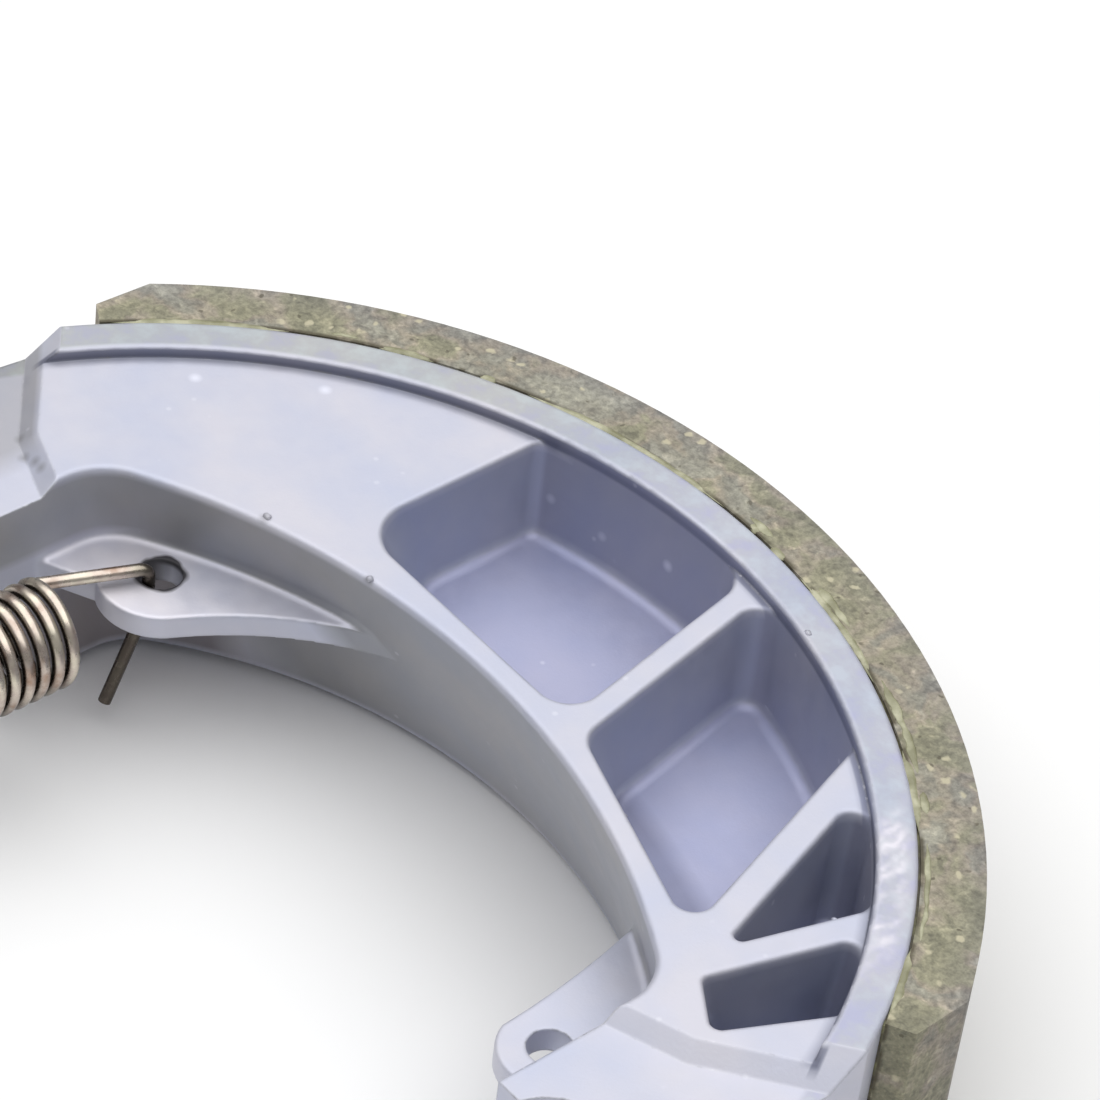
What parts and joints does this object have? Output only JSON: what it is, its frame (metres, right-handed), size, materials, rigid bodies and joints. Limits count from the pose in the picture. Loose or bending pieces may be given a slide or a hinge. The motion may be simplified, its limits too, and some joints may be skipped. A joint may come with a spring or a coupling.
{
  "type": "brake shoe",
  "caption": "Die-cast drum brake shoe with zig-zag ribs, a bonded curved friction lining and a hooked tension return spring.",
  "frame": {"origin": "centre of the half-round anchor pin seat at mid width", "axes": "+Z parallel to the drum axis out of the face turned up, +X along the shoe from its cam end towards its anchor end, +Y towards the crest of the lining"},
  "size_m": [0.1088, 0.0843, 0.025],
  "materials": {
    "casting": "satin",
    "lining": "matte",
    "film": "satin",
    "spring": "satin"
  },
  "bodies": {
    "root": {"shoe_casting": "casting", "friction_lining": "lining", "bond_film": "film", "return_spring": "spring"}
  },
  "joints": []
}
